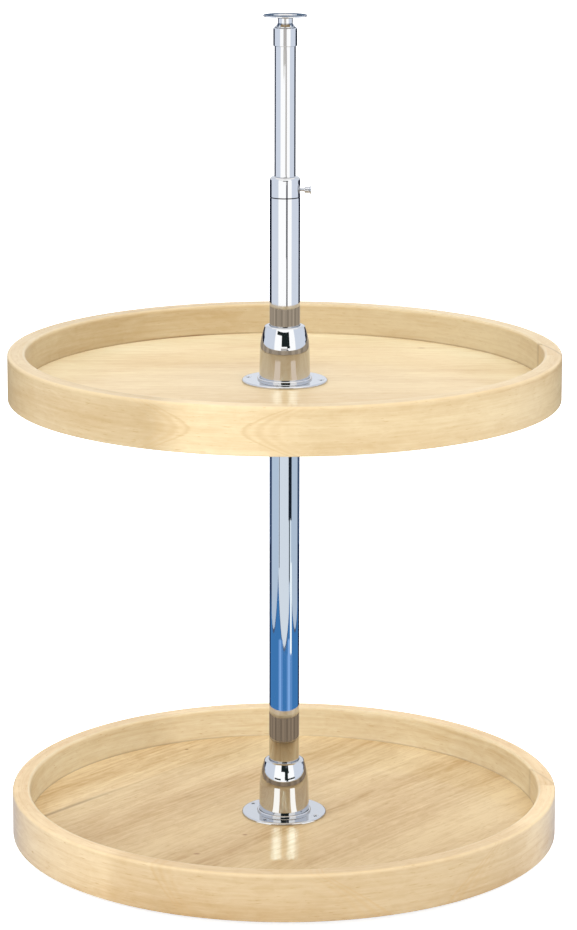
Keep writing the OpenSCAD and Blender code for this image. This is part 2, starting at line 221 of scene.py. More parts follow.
soft_lamp("overhead_lamp", (0.3, -0.5, 2.9), (0, 0, 0.4), 2.6, 2.6, 26)
soft_lamp("front_lamp", (-0.9, -3.3, 1.8), (0, 0, 0.35), 1.8, 1.8, 20)
under_lamp = soft_lamp("under_lamp", (0, 0, 0.40), (0, 0, 0), 0.36, 0.36, 0.45)
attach(under_lamp, "upper_carriage")

# %% [markdown]
# Each polished hub throws two soft streaks of light on the tray in front of it. Light that metal
# throws takes very many samples to find, so two thin bluish lamps stand in for it.

# %% Streaks of light in front of the hubs
STREAK_Y, STREAK_LIFT = -0.088, 0.024  # in front of the post, and over the wood
STREAK_W, STREAK_L = 0.006, 0.086
STREAK_WATTS, STREAK_BEAM, STREAK_BLUE = 0.0034, 26, (0.3, 0.53, 1.0)

for tray, brightness in (("upper", 0.5), ("lower", 1.0)):
    tray_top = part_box(tray + "_floor")[1][2]
    for side, x in (("left", -0.0068), ("right", 0.0072)):
        lamp = soft_lamp("%s_streak_%s" % (tray, side), (x, STREAK_Y, tray_top + STREAK_LIFT),
                         (x, STREAK_Y, 0), STREAK_W, STREAK_L, STREAK_WATTS * brightness,
                         spread=STREAK_BEAM, colour=STREAK_BLUE)
        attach(lamp, tray + "_carriage")

# %% [markdown]
# Round the unit stands a white tent, made as a glowing world. Polished metal sees the tent's
# walls themselves, which are brighter than the light that reaches the wood, and the camera sees
# plain white.

# %% The tent
TENT_GLOW = 1.16   # what the tent gives to wood
TENT_WHITE = 1.75  # what polished metal sees of it
FRONT_EXTRA = 0.2  # how much brighter its front is than its sides

world = bpy.data.worlds.new("tent")
bpy.context.scene.world = world
world.use_nodes = True
tree = world.node_tree
tree.nodes.clear()
ray = add_node(tree, "LightPath")
facing = add_node(tree, "SeparateXYZ", {0: add_node(tree, "TexCoord").outputs["Generated"]})
forward = reckon(tree, "MULTIPLY_ADD", facing.outputs["Y"], -FRONT_EXTRA * TENT_GLOW, TENT_GLOW)
glossy = add_node(tree, "Mix", {0: ray.outputs["Is Glossy Ray"], 2: forward, 3: TENT_WHITE})
seen = add_node(tree, "Mix", {0: ray.outputs["Is Camera Ray"], 2: glossy.outputs[0], 3: 1.0})
sky = add_node(tree, "Background", {"Strength": seen.outputs[0]})
add_node(tree, "OutputWorld", {"Surface": sky.outputs[0]})
print("tent:", TENT_GLOW, "for wood,", TENT_WHITE, "for metal")

# %% [markdown]
# Chrome has hardly a colour of its own: what it shows is the room. So the room needs shapes, as
# cards that only reflections can see: white and pale blue walls, a dark corner behind, a blue
# board under the unit, and the dark stand of the camera. A card's colour is the tone that it
# should have when seen in the metal, so it is divided by what the metal reflects.

# %% A card that only the chrome sees
CHROME_SHARE = 0.58  # the share of light that the plated metal sends back


def card_glow(name, colour, one_sided):
    """A card's glow. A one-sided card is clear from below or from outside, so that what it lies
    on doesn't mirror it."""
    glow = bpy.data.materials.new(name)
    glow.use_nodes = True
    tree = glow.node_tree
    tree.nodes.clear()
    light = tone(*colour, gain=1 / CHROME_SHARE)
    surface = add_node(tree, "Emission", {"Color": light}).outputs[0]
    if one_sided:
        front = minus(tree, 1.0, add_node(tree, "NewGeometry").outputs["Backfacing"])
        clear = add_node(tree, "BsdfTransparent").outputs[0]
        surface = add_node(tree, "MixShader", {0: front, 1: surface, 2: clear}).outputs[0]
    add_node(tree, "OutputMaterial", {"Surface": surface})
    return glow


def card(name, corners, colour, one_sided=False):
    """One flat or curved card from two rows of corners, seen by reflections alone."""
    mesh = bpy.data.meshes.new(name)
    across = len(corners) // 2
    faces = [(i, i + 1, across + i + 1, across + i) for i in range(across - 1)]
    mesh.from_pydata(corners, [], faces)
    mesh.materials.append(card_glow(name, colour, one_sided))
    made = bpy.data.objects.new(name, mesh)
    bpy.context.scene.collection.objects.link(made)
    for kind in ("camera", "diffuse", "transmission", "volume_scatter", "shadow"):
        setattr(made, "visible_" + kind, False)
    return made


print("a card glows", round(1 / CHROME_SHARE, 2), "times its tone")

# %% [markdown]
# Each card is a piece of a ring: on the ground between two radii, or upright between two heights.
# Angles are measured from the front, positive towards the right.

# %% Cards as pieces of a ring
WALL_R = 3.0
ARC_STEP = 3  # degrees between two corners of a card


def arc(angle_a, angle_b, radius, height):
    steps = max(2, round(abs(angle_b - angle_a) / ARC_STEP) + 1)
    turns = [math.radians(angle_a + (angle_b - angle_a) * i / (steps - 1)) for i in range(steps)]
    return [(radius * math.sin(t), -radius * math.cos(t), height) for t in turns]


def ground_card(name, angle_a, angle_b, near, far, colour, lift=0.0, one_sided=False):
    corners = arc(angle_a, angle_b, near, lift) + arc(angle_a, angle_b, far, lift)
    return card(name, corners, colour, one_sided)


def wall_card(name, angle_a, angle_b, low, high, colour, radius=WALL_R, one_sided=False):
    corners = arc(angle_a, angle_b, radius, low) + arc(angle_a, angle_b, radius, high)
    return card(name, corners, colour, one_sided)


print("a full ring has", len(arc(0, 360, WALL_R, 0)), "corners")

# %% [markdown]
# The walls are white in front, misty blue at the sides, and dark behind up to the height of a
# table. What covers part of a wall stands a little nearer, so that it hides it.

# %% The walls
WHITE, MIST, DUSK, NIGHT = (252, 253, 253), (203, 211, 224), (120, 132, 152), (26, 30, 46)
LEFT_EDGE, RIGHT_EDGE, BACK_LEFT, BACK_RIGHT = -50, 52, -119, 124
BACK_END = 360 + BACK_LEFT
DUSK_START, DUSK_END = 163, 197
WALL_TOP, DARK_TOP = 4, 0.62
NEARER_R, FOOT_R, STAND_R = 2.99, 2.98, 2.97

wall_card("wall_front", LEFT_EDGE, RIGHT_EDGE, 0, WALL_TOP, WHITE)
wall_card("wall_left", BACK_LEFT, LEFT_EDGE, 0, WALL_TOP, MIST)
wall_card("wall_right", RIGHT_EDGE, BACK_RIGHT, 0, WALL_TOP, MIST)
wall_card("wall_back_low", BACK_RIGHT, BACK_END, 0, DARK_TOP, NIGHT)
wall_card("wall_back_dusk", DUSK_START, DUSK_END, 0, DARK_TOP, DUSK, FOOT_R)
wall_card("wall_right_dark", 116, BACK_RIGHT, 0.16, 0.47, NIGHT, NEARER_R)
wall_card("wall_back_high", BACK_RIGHT, BACK_END, DARK_TOP, WALL_TOP, (199, 204, 212))

# The ceiling plate is flat and seen from just above, so all that its top shows is one low strip
# of the far wall. There the wall has a dark shelf, which draws the plate's thin dark ring.
wall_card("back_shelf", 178.2, 181.8, 0.938, 0.985, (66, 84, 106), 2.0)

# %% [markdown]
# The floor far out goes on in the walls' tones, so that a tube shows no step where one ends and
# the other starts. Nearer by it is greyer.

# %% The far and near ground in reflections
GROUND_START, GROUND_EDGE = 0.3, 2.0
LAYER = 0.0002  # cards that lie on each other are this far apart

for side, start, end, colour in (
        ("front", LEFT_EDGE, RIGHT_EDGE, WHITE), ("left", BACK_LEFT, LEFT_EDGE, MIST),
        ("right", RIGHT_EDGE, BACK_RIGHT, MIST), ("back", BACK_RIGHT, BACK_END, NIGHT)):
    ground_card("far_" + side, start, end, GROUND_EDGE, WALL_R, colour)
ground_card("far_dusk", DUSK_START, DUSK_END, GROUND_EDGE, WALL_R, DUSK, LAYER)
for side, start, end, colour in (
        ("front", -45, 34, (206, 216, 226)), ("left", -112, -45, (174, 192, 212)),
        ("right", 34, 117, (172, 189, 208)), ("back", 117, 248, (60, 76, 104))):
    ground_card("ground_" + side, start, end, GROUND_START, GROUND_EDGE, colour)
print("the ground reaches", WALL_R, "m out")

# %% [markdown]
# The camera's stand is the dark figure in the middle of every reflection: a foot, a leg, and
# the body with an arm to the left, which the bells bend into a hooked black mark. Nearer by, and
# so low that only the lower bell shows them, are the stand's spread feet and a white sheet.

# %% The camera stand
STAND = (26, 34, 34)
MIDDLE_R, NEAR_R, SHEET_R = 1.5, 1.0, 1.01

wall_card("stand_foot_top", -17, 14, 0.434, 0.6, (176, 173, 170), FOOT_R)
wall_card("stand_foot_wide", -20, 3, 0.405, 0.434, (188, 186, 182), FOOT_R)
wall_card("stand_foot_step", -18, -6, 0.38, 0.405, (212, 210, 206), FOOT_R)
wall_card("stand_foot_far", 3, 19, 0.2, 0.434, (178, 176, 174), FOOT_R)
wall_card("stand_foot", 11, 20.5, 0, 0.2, (72, 74, 80), FOOT_R)
ground_card("stand_foot_ground", 11, 20.5, 2.3, NEARER_R, (60, 62, 70), LAYER)
wall_card("stand_leg", 8.5, 17, 0.385, 0.475, (84, 86, 92), NEAR_R)
wall_card("stand_shin", 11, 25, 0.6, 0.75, STAND, STAND_R)
wall_card("near_leg_top", 4, 19, 0.152, 0.285, STAND, NEAR_R)
wall_card("near_leg", 4, 19, 0.065, 0.232, STAND, MIDDLE_R)
wall_card("near_foot_left", -46, -16, 0.062, 0.118, STAND, MIDDLE_R)
wall_card("near_foot_right", 19, 54, 0.072, 0.13, STAND, MIDDLE_R)
wall_card("near_sheet", -22, 4, 0.155, 0.25, WHITE, SHEET_R)
wall_card("stand_body", -15, 23, 0.72, 1.57, STAND, STAND_R)
wall_card("stand_top", -41, 23, 1.57, 1.88, STAND, STAND_R)

# %% [markdown]
# On the ground round the unit lie a seam in the floor covering, a dark gap, a blue board with a
# border and a painted shadow over its back end, two soft stripes of light on it, and a sheet of
# white paper.

# %% The blue board and what lies round it
BLUE, STRIPE, GAP, PAPER = (60, 116, 174), (124, 167, 222), (22, 30, 40), (240, 250, 254)
BOARD_HALF, BOARD_FRONT, BOARD_BACK, BORDER = 0.702, 0.637, 0.75, 0.018


def board(name, half, front, back, lift, colour):
    corners = [(x, y, lift) for y in (-front, back) for x in (-half, half)]
    card(name, corners, colour)


ground_card("ground_seam", -42, -37.5, 1.0, GROUND_EDGE, (60, 70, 84), LAYER)
ground_card("ground_gap", 30.5, 56, 1.24, GROUND_EDGE, GAP, LAYER)
ground_card("ground_gap_tail", 35, 42, 0.93, 1.24, GAP, LAYER)
board("board_border", BOARD_HALF + BORDER, BOARD_FRONT + BORDER, BOARD_BACK, 2 * LAYER,
      (70, 84, 110))
board("blue_board", BOARD_HALF, BOARD_FRONT, BOARD_BACK, 3 * LAYER, BLUE)
ground_card("board_back_shadow", 128, 232, 0.25, 1.1, (34, 44, 70), 4 * LAYER)
ground_card("stripe_left_edge", -46, -12, GROUND_START, 0.68, (88, 136, 194), 4 * LAYER)
ground_card("stripe_left", -38, -24, GROUND_START, 0.68, STRIPE, 5 * LAYER)
ground_card("stripe_right_edge", 18, 64, GROUND_START, 0.62, (88, 136, 192), 4 * LAYER)
ground_card("stripe_right", 27, 46, GROUND_START, 0.68, STRIPE, 5 * LAYER)
ground_card("white_paper", 44, 58, 0.62, 1.02, PAPER, 6 * LAYER)
ground_card("paper_corner", 42, 52, 1.02, 1.24, (214, 228, 238), 6 * LAYER)
print("the board is", 2 * BOARD_HALF, "m wide")

# %% [markdown]
# Two pale cards on each tray floor, seen only by the chrome, are painted reflections of two long
# lights beside the camera in the trays' lacquer: only the bells' lower parts show them, a pale
# stripe on each side of the middle. A ring of dark strips just inside each rim, also seen only by
# the chrome, is painted shade: it stands in for the near rim's shaded inner side, in streaks along
# its grain, which the post and the bell mirror. All this rides on the tray's carriage, so it
# follows the tray's height and doesn't spin.

# %% Light and shade in the trays
SHINE_NEAR, SHINE_FAR = 0.036, 0.165
SHADE_R, SHADE_STEP, SHADE_FOOT = 0.2368, 15, 0.002  # a ring just inside the rim, in degrees
RIPPLE = (1.0, 0.9, 1.06, 0.95, 1.1, 0.88, 1.02)

for tray, shine_tone, shade, below_edge in (("upper", (206, 190, 170), (147, 135, 119), 0.0006),
                                            ("lower", (250, 248, 241), (126, 111, 94), 0.003)):
    floor_top, rim_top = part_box(tray + "_floor")[1][2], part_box(tray + "_rim")[1][2]
    for side, start, end in (("left", -42, -18), ("right", 26, 47)):
        shine = ground_card("%s_shine_%s" % (tray, side), start, end, SHINE_NEAR, SHINE_FAR,
                            shine_tone, floor_top + 2 * LAYER, one_sided=True)
        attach(shine, tray + "_carriage")
    for i, start in enumerate(range(0, 360, SHADE_STEP)):
        streak = RIPPLE[i % len(RIPPLE)]
        strip = wall_card("%s_rim_shade_%d" % (tray, start), start, start + SHADE_STEP,
                          floor_top + SHADE_FOOT, rim_top - below_edge,
                          [c * streak for c in shade], SHADE_R, one_sided=True)
        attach(strip, tray + "_carriage")

# %% [markdown]
# Maple is a pale, close wood. Its figure has five parts: broad soft bands along the grain, the
# arched lines of the growth rings where the veneer was cut flat, hair-fine streaks, a soft
# mottle, and small dark flecks. All are noise that is stretched along the grain. They go into one
# node group, which is told how far along and across the grain a point lies, in metres, so that a
# flat panel and a bent band can share it.

# %% A group for the maple figure
figure = bpy.data.node_groups.new("maple_figure", "ShaderNodeTree")
for name, kind, value in (("Along", "Float", 0), ("Across", "Float", 0), ("Seed", "Float", 0),
                          ("Strength", "Float", 1), ("Pale", "Color", tone(246, 224, 186)),
                          ("Deep", "Color", tone(214, 178, 128))):
    socket = figure.interface.new_socket(name, in_out="INPUT", socket_type="NodeSocket" + kind)
    socket.default_value = value
for name, kind in (("Colour", "Color"), ("Grain", "Float"), ("Gloss", "Float")):
    figure.interface.new_socket(name, in_out="OUTPUT", socket_type="NodeSocket" + kind)
given = add_node(figure, "GroupInput").outputs


def stretched_noise(along_scale, across_scale, detail, distortion=0.0, roughness=0.5):
    """Noise that is pulled out along the grain; the scales are features per metre."""
    place = add_node(figure, "CombineXYZ", {
        "X": times(figure, given["Along"], along_scale),
        "Y": times(figure, given["Across"], across_scale),
        "Z": given["Seed"]})
    return add_node(figure, "TexNoise", {
        "Vector": place.outputs[0], "Scale": 1.0, "Detail": detail, "Distortion": distortion,
        "Roughness": roughness}).outputs["Fac"]


broad = stretched_noise(2.2, 17, 3, 0.5)
warp = stretched_noise(5, 30, 2)
streaks = stretched_noise(15, 330, 4, 0.35, 0.66)
mottle = stretched_noise(42, 95, 4, 1.1, 0.6)
flecks = stretched_noise(95, 1100, 2)
print("the figure takes", [socket.name for socket in given if socket.name])

# %% [markdown]
# The growth lines are a sine of the distance across the grain, pushed sideways by slow noise so
# that they arch. All parts are added up by weight to a depth, from pale to deep. Strength spreads
# the contrast about the figure's middle.

# %% The maple figure
LINE_WAVE, LINE_SWAY = 520, 38  # radians per metre, a line every 12 mm, and how far they sway
FIGURE_MIDDLE, MIDDLE_DEPTH = 1.08, 0.36  # the sum's middle, and its place from pale to deep

lines_at = plus(figure, times(figure, given["Across"], LINE_WAVE), times(figure, warp, LINE_SWAY))
lines = reckon(figure, "MULTIPLY_ADD", reckon(figure, "SINE", lines_at), 0.5, 0.5)
lines = times(figure, lines, ramp(figure, broad, [(0.42, 0.0), (0.62, 1.0)]))
fleck_mask = ramp(figure, flecks, [(0.66, 0.0), (0.76, 1.0)])

depth = times(figure, broad, 0.85)
for part, weight in ((streaks, 0.75), (mottle, 0.5), (lines, 0.12), (fleck_mask, 0.6)):
    depth = plus(figure, depth, times(figure, part, weight))
depth = times(figure, minus(figure, depth, FIGURE_MIDDLE), given["Strength"])
depth = reckon(figure, "ADD", depth, MIDDLE_DEPTH, clamp=True)

colour = blend_colours(figure, depth, given["Pale"], given["Deep"])
grain = minus(figure, streaks, times(figure, fleck_mask, 0.7))
gloss = reckon(figure, "MULTIPLY_ADD", mottle, 0.16, 0.30)
add_node(figure, "GroupOutput", {"Colour": colour, "Grain": grain, "Gloss": gloss})
print("maple_figure has", len(figure.nodes), "nodes")

# %% [markdown]
# A clear lacquer lies over the wood as the shader's coat, and the grain is also a very shallow
# bump. Deeper wood isn't only darker: its green falls faster than its red, and its blue the most.

# %% What all maple shares
LACQUER = dict(coat_weight=0.15, coat_roughness=0.1, specular_ior_level=0.12)
GRAIN_DEPTH = 0.0003
GREEN_FALL, BLUE_FALL = 1.15, 1.4


def place_figure(tree, along, across, seed, strength, pale, deep):
    return add_node(tree, "Group", {"Along": along, "Across": across, "Seed": seed,
                                    "Strength": strength, "Pale": pale, "Deep": deep},
                    node_tree=figure)


def feed_wood(tree, shader, wood, colour):
    tree.links.new(colour, shader.inputs["Base Color"])
    tree.links.new(wood.outputs["Gloss"], shader.inputs["Roughness"])
    bump = add_node(tree, "Bump", {"Height": wood.outputs["Grain"], "Strength": 0.25,
                                   "Distance": GRAIN_DEPTH})
    tree.links.new(bump.outputs[0], shader.inputs["Normal"])


print("the grain is", GRAIN_DEPTH * 1000, "mm deep")

# %% [markdown]
# Each rim is one maple band, steamed and bent round until its ends meet. So its grain runs round
# the tray. The distance along the grain is the turn round the axis times the radius, and the
# distance across it is the height plus the radius, which runs on smoothly over the rounded
# edges. The turn starts at the joint, where one end of the board meets the other, so there the
# figure breaks off, as it does on the real band.

# %% A place on a bent band
BAND_R, BAND_THICK = 0.254, 0.0165


def along_turn(tree, joint):
    """Turn round the axis from 0 to 1, started at the joint's angle from the front, the radius
    and the height."""
    place = add_node(tree, "TexCoord").outputs["Object"]
    turned = add_node(tree, "VectorRotate", {"Vector": place, "Angle": math.radians(90 - joint)},
                      rotation_type="Z_AXIS").outputs[0]
    apart = add_node(tree, "SeparateXYZ", {0: turned}).outputs
    turn = reckon(tree, "ARCTAN2", times(tree, apart["Y"], -1.0), times(tree, apart["X"], -1.0))
    share = reckon(tree, "MULTIPLY_ADD", turn, 1 / math.tau, 0.5)
    return share, length_of(tree, apart["X"], apart["Y"]), apart["Z"]


print("a band is", round(math.tau * BAND_R, 3), "m long")

# %% [markdown]
# Growth arches face each other over a pale eye, as where a knot lay near under the veneer. They
# are the lines of equal height on a saddle, which the grain makes a little uneven.

# %% Growth arches
ARCH_WAVE, ARCH_STRENGTH, ARCH_REACH = 15.0, 0.45, 0.2
ARCH_WINDOW = [(0.17, 0.0), (0.19, 1.0), (0.30, 0.6), (0.52, 0.0)]


def add_arches(tree, colour, along, up, grain, one_sided, deep):
    """Along and up are measured from the eye, as shares of its half length and half height."""
    saddle = minus(tree, times(tree, along, along), times(tree, up, up))
    saddle = plus(tree, saddle, times(tree, grain, 0.5))
    ring = reckon(tree, "SQRT", reckon(tree, "MAXIMUM", saddle, 0.0))
    wave = reckon(tree, "SINE", times(tree, ring, ARCH_WAVE))
    rings = reckon(tree, "MULTIPLY_ADD", wave, 0.5, 0.5)
    window = ramp(tree, times(tree, ring, ARCH_REACH), ARCH_WINDOW)
    if one_sided:
        window = times(tree, window, reckon(tree, "GREATER_THAN", along, 0.0))
    return blend_colours(tree, times(tree, times(tree, rings, window), ARCH_STRENGTH), colour, deep)


print("arches show from", ARCH_WINDOW[1][0] / ARCH_REACH, "half lengths on")

# %% [markdown]
# A thin dark line along the inner face's foot, where the floor meets it, is painted shade of that
# crevice. The rounded top edges are painted paler: partly wood sanded through, partly a painted
# highlight on the rounding. The joint is a long scarf over the band's thickness, with a hair-thin
# glue line. A ramp's stops lie between 0 and 1, so distances go to it in centimetres.

# %% Painted foot shade, sanded and highlit edges, and scarf joint
TO_CM = 100
FOOT_SHADE, SANDED_HIGHLIGHT, GLUE_BROWN = tone(118, 80, 42), tone(238, 215, 174), tone(120, 92, 62)
GLUE_AT = 0.0004  # where the glue line's middle lies, in turns


def add_painted_foot_shade(tree, colour, height, floor_top, inside, how_dark):
    over_floor = times(tree, minus(tree, height, floor_top), TO_CM)
    line = ramp(tree, over_floor, [(0.08, 1.0), (0.17, 0.0)])
    line = times(tree, times(tree, line, inside), how_dark)
    return blend_colours(tree, line, colour, FOOT_SHADE)


def add_sanded_edge_highlights(tree, colour, radius, height, top):
    from_face = reckon(tree, "MINIMUM", minus(tree, BAND_R, radius),
                       minus(tree, radius, BAND_R - BAND_THICK))
    near_edge = times(tree, plus(tree, minus(tree, top, height), from_face), TO_CM)
    # The paler edge is partly wood sanded through and partly a painted highlight.
    arris = ramp(tree, near_edge, [(0.12, 1.0), (0.36, 0.0)])
    return blend_colours(tree, times(tree, arris, 0.4), colour, SANDED_HIGHLIGHT)


def add_scarf(tree, colour, share, radius, scarf, glue, deep):
    askew = reckon(tree, "MULTIPLY_ADD", minus(tree, radius, BAND_R), scarf / 360 / BAND_THICK,
                   share)
    inner_end = times(tree, reckon(tree, "LESS_THAN", askew, GLUE_AT),
                      reckon(tree, "LESS_THAN", share, scarf / 360 + 0.01))
    colour = blend_colours(tree, times(tree, inner_end, glue * 0.6), colour, deep)
    line = ramp(tree, reckon(tree, "ABSOLUTE", minus(tree, askew, GLUE_AT)),
                [(0.0001, 1.0), (0.0005, 0.0)])
    return blend_colours(tree, times(tree, line, glue), colour, GLUE_BROWN)


print("the glue line is", round(math.tau * BAND_R * GLUE_AT * 1000, 2), "mm past the joint")

# %% [markdown]
# A band's tone changes as it goes round: partly the wood's own tone from board to board, partly
# painted light and shade, paler where the light falls and deeper in shade. Its inner face gets a
# tint of its own, which is painted light and shade too. The marks come on top of that.

# %% Maple for a bent band
INNER_LIGHT_FROM = 0.014  # where the inner face's painted light and shade starts, this far in from the outer face
FOOT_STRENGTH = 0.75


def band_maple(name, joint, scarf, glue, seed, tray, stretches, arches, strength, inner_painted_light,
               pale, deep, foot):
    """Maple for a tray's band. The joint's outer end is at an angle from the front, and the scarf
    runs on from there to the inner face, with a glue line of the given strength. Stretches are
    (degrees from the front, tone), tones that are partly painted light and shade, and arches are
    (degrees, height over the middle, half length, half height, 1 for the right side only). Inner
    painted light is the inner face's tint, painted light and shade. Foot is how dark the painted
    shade along the floor is, as (degrees, strength)."""
    def turns(degrees):
        return (degrees - joint) % 360 / 360

    low, high = (corner[2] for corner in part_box(tray + "_rim"))
    made, tree, shader = finish_named(name, **LACQUER)
    share, radius, height = along_turn(tree, joint)
    wood = place_figure(tree, times(tree, share, math.tau * BAND_R), plus(tree, height, radius),
                        seed, strength, pale, deep)
    # Stretch tones: partly the wood's own tone, partly painted light and shade.
    stretch_tones_and_light = ramp(tree, share, sorted(
        (turns(degrees), (value, value ** GREEN_FALL, value ** BLUE_FALL, 1))
        for degrees, value in stretches))
    colour = blend_colours(tree, 1.0, wood.outputs["Colour"], stretch_tones_and_light, "MULTIPLY")
    for degrees, rise, half_length, half_height, one_sided in arches:
        along = times(tree, minus(tree, share, turns(degrees)), math.tau * BAND_R / half_length)
        up = times(tree, minus(tree, height, (low + high) / 2 + rise), 1 / half_height)
        colour = add_arches(tree, colour, along, up, wood.outputs["Grain"], one_sided, deep)
    # The inner face's own tint is painted light and shade.
    inside = reckon(tree, "LESS_THAN", radius, BAND_R - INNER_LIGHT_FROM)
    tinted = blend_colours(tree, 1.0, colour, inner_painted_light, "MULTIPLY")
    colour = blend_colours(tree, inside, colour, tinted)
    how_dark = ramp(tree, share, sorted((turns(degrees), value * FOOT_STRENGTH)
                                        for degrees, value in foot))
    floor_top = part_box(tray + "_floor")[1][2]
    colour = add_painted_foot_shade(tree, colour, height, floor_top, inside, how_dark)
    colour = add_sanded_edge_highlights(tree, colour, radius, height, high)
    colour = add_scarf(tree, colour, share, radius, scarf, glue, deep)
    feed_wood(tree, shader, wood, colour)
    return made


# The tint on the inner face, whose width on the top edge this prints, is painted light and shade.
print("the inner veneer is", round((BAND_THICK - INNER_LIGHT_FROM) * 1000, 1), "mm wide on the top edge")

# %% [markdown]
# The two bands differ in tone, in where their joint lies and in where an arch shows. Their
# stretches are listed from the joint on, once round.

# %% The two bands
# The stretches' tones are partly painted light: on the upper band the pale stretch at the front
# left is partly a painted highlight, and on the lower band the deep front is painted shade and the
# pale back painted light.
UPPER_STRETCHES = [
    (84, 0.97), (110, 0.93), (140, 0.95), (170, 0.99), (178, 1.0), (183, 0.92), (205, 0.92),
    (222, 0.85), (248, 0.87), (270, 0.9), (300, 0.92), (318, 0.87), (333, 0.81), (341, 1.1),
    (350, 1.08), (366, 0.93), (405, 0.97), (440, 0.94)]
LOWER_STRETCHES = [
    (90, 1.04), (130, 1.06), (150, 1.14), (190, 1.16), (206, 1.16), (213, 1.02), (245, 1.06),
    (290, 1.02), (305, 1.05), (322, 1.03), (324, 0.94), (334, 0.86), (350, 0.84), (370, 0.8),
    (400, 0.82), (414, 0.88), (424, 1.07), (446, 1.07)]
UPPER_FOOT = [
    (95, 0.3), (125, 0.5), (150, 0.55), (165, 0.4), (176, 0.1), (186, 0.35), (190, 0.6),
    (196, 0.45), (200, 0.75), (203, 1.0), (206, 0.75), (214, 0.6), (225, 0.4), (250, 0.3),
    (265, 0.2)]
LOWER_FOOT = [(100, 0.35), (150, 0.3), (180, 0.1), (200, 0.35), (225, 0.45), (255, 0.3)]
upper_band = band_maple(
    "upper_band_maple", joint=84, scarf=14, glue=0.4, seed=3.1, tray="upper",
    stretches=UPPER_STRETCHES, arches=[(-13.4, 0.0, 0.0295, 0.0105, 0)], strength=1.3,
    inner_painted_light=(0.905, 0.955, 1.045, 1), pale=tone(231, 210, 169), deep=tone(203, 170, 119),
    foot=UPPER_FOOT)
lower_band = band_maple(
    "lower_band_maple", joint=88, scarf=12, glue=0.22, seed=7.7, tray="lower",
    stretches=LOWER_STRETCHES,
    arches=[(-31, 0.024, 0.02, 0.02, 1), (28, -0.03, 0.03, 0.018, 0)], strength=1.5,
    inner_painted_light=(0.95, 1.065, 1.22, 1), pale=tone(231, 208, 168), deep=tone(203, 168, 117),
    foot=LOWER_FOOT)
print("band nodes:", len(upper_band.node_tree.nodes), "and", len(lower_band.node_tree.nodes))

# %% [markdown]
# The tray floors are flat panels with a maple face veneer of two leaves. Behind the joint of the
# leaves the figure starts from another place, so it breaks off there as on a real panel. Where
# the leaves match, the joint fades.

# %% Leaves and knots of a panel
LEAF_SHIFT = (0.37, 0.61)  # how far the second leaf's figure lies off, along and across
JOINT_BROWN, KNOT_BROWN = tone(120, 90, 56), tone(150, 108, 66)


def fading(tree, value, slope, middle=0.5):
    """From 0 to 1 as the value passes 0, over 1 / slope metres."""
    return reckon(tree, "MULTIPLY_ADD", value, slope, middle, clamp=True)


def between(tree, factor, low, high):
    """From low to high as the factor goes from 0 to 1."""
    return reckon(tree, "MULTIPLY_ADD", factor, high - low, low)


def add_leaf_joint(tree, colour, across, joint_at, matched):
    line = ramp(tree, reckon(tree, "ABSOLUTE", minus(tree, across, joint_at)),
                [(0.0002, 1.0), (0.0008, 0.0)])
    return blend_colours(tree, times(tree, line, times(tree, matched, 0.6)), colour, JOINT_BROWN)


def add_knot(tree, colour, flat, x, y, length, width):
    off_x = reckon(tree, "DIVIDE", minus(tree, flat["X"], x), length)
    off_y = reckon(tree, "DIVIDE", minus(tree, flat["Y"], y), width)
    knot = ramp(tree, length_of(tree, off_x, off_y), [(0.35, 0.75), (1.0, 0.0)])
    return blend_colours(tree, knot, colour, KNOT_BROWN)


print("leaves start", LEAF_SHIFT, "m apart in the figure")

# %% [markdown]
# A panel is painted paler from the front to the back, which is painted light, and each leaf has its
# own depth. All is worked out from where a point lies on the panel, so it turns with the tray.

# %% Maple for a floor panel
def panel_maple(name, turn, seed, strength, pale, deep, leaf_joint, leaf_and_light_depths, edge_light_tints, knots):
    """Maple for a flat panel whose grain is turned from X. The joint of its two leaves is
    (distance across the grain, where it fades along the grain). Leaf and light depths are the tones
    in front, at the back, of the front leaf and of the back leaf; the change from front to back is
    painted light. Edge light tints are (radius, colour), painted light that pales the panel towards
    its edge, and knots are (x, y, length, width)."""
    joint_at, fades_at = leaf_joint
    front, back, leaf_front, leaf_back = leaf_and_light_depths
    made, tree, shader = finish_named(name, **LACQUER)
    place = add_node(tree, "TexCoord").outputs["Object"]
    flat = add_node(tree, "SeparateXYZ", {0: place}).outputs
    turned = add_node(tree, "Mapping", {"Vector": place, "Rotation": (0, 0, math.radians(-turn))})
    apart = add_node(tree, "SeparateXYZ", {0: turned.outputs[0]}).outputs
    behind = reckon(tree, "GREATER_THAN", apart["Y"], joint_at)
    along, across = (reckon(tree, "MULTIPLY_ADD", behind, shift, apart[axis])
                     for axis, shift in zip("XY", LEAF_SHIFT))
    wood = place_figure(tree, along, across, seed, strength, pale, deep)
    leaf_over = fading(tree, minus(tree, fades_at + 0.15, apart["X"]), 6.0)
    leaf = between(tree, times(tree, behind, leaf_over), leaf_front, leaf_back)
    # Paler from front to back: painted light.
    depth = times(tree, between(tree, fading(tree, flat["Y"], 2.0), front, back), leaf)
    tint = add_node(tree, "CombineColor", {0: depth, 1: reckon(tree, "POWER", depth, GREEN_FALL),
                                           2: reckon(tree, "POWER", depth, BLUE_FALL)})
    colour = blend_colours(tree, 1.0, wood.outputs["Colour"], tint.outputs[0], "MULTIPLY")
    # Towards its edge the panel is painted paler, at the back above all, which is painted light.
    edge_light = ramp(tree, length_of(tree, flat["X"], flat["Y"]), edge_light_tints)
    colour = blend_colours(tree, fading(tree, flat["Y"], 4.0, 0.45), colour, edge_light, "MULTIPLY")
    matched = fading(tree, minus(tree, fades_at, apart["X"]), 14.0)
    colour = add_leaf_joint(tree, colour, apart["Y"], joint_at, matched)
    for x, y, length, width in knots:
        colour = add_knot(tree, colour, flat, x, y, length, width)
    feed_wood(tree, shader, wood, colour)
    return made


print("panel maple ready")

# %% [markdown]
# On the upper panel the grain runs straight across the view, and the leaf joint lies outside the
# panel. The lower one lies turned, as a turning shelf may, so its grain runs off at an angle,
# and its veneer is more lively.

